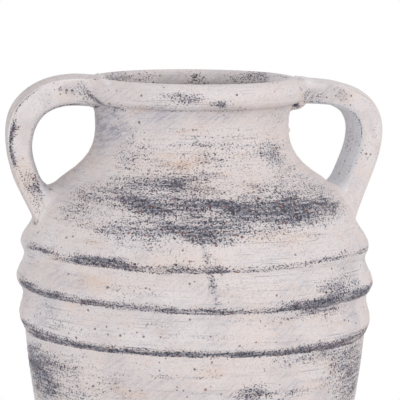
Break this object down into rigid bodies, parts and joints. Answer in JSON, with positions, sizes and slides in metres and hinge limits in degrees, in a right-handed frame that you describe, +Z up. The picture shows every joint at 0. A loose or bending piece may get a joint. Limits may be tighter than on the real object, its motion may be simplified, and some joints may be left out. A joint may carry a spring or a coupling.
{
  "type": "two-handled terracotta vase",
  "caption": "Amphora-shaped vase with a rolled rim, concave neck, ridged belly and strap handles from rim to shoulder, limewashed and worn dark.",
  "frame": {"origin": "centre of the flat base, where the vase stands", "axes": "+Z up along the axis of turning, +X towards the right handle, -Y towards the front"},
  "size_m": [0.3062, 0.2854, 0.4223],
  "materials": {
    "lower_body": "limewashed terracotta, matt, worn to grey",
    "upper_body": "limewashed terracotta, matt, worn to grey",
    "rim": "limewashed terracotta, matt, worn to grey",
    "handle_left": "limewashed terracotta, matt",
    "handle_right": "limewashed terracotta, matt",
    "luting_wad": "limewashed terracotta slip, matt"
  },
  "bodies": {
    "root": {"lower_body": "lower_body", "upper_body": "upper_body", "rim": "rim", "handle_left": "handle_left", "handle_right": "handle_right", "luting_wad": "luting_wad"}
  },
  "joints": []
}
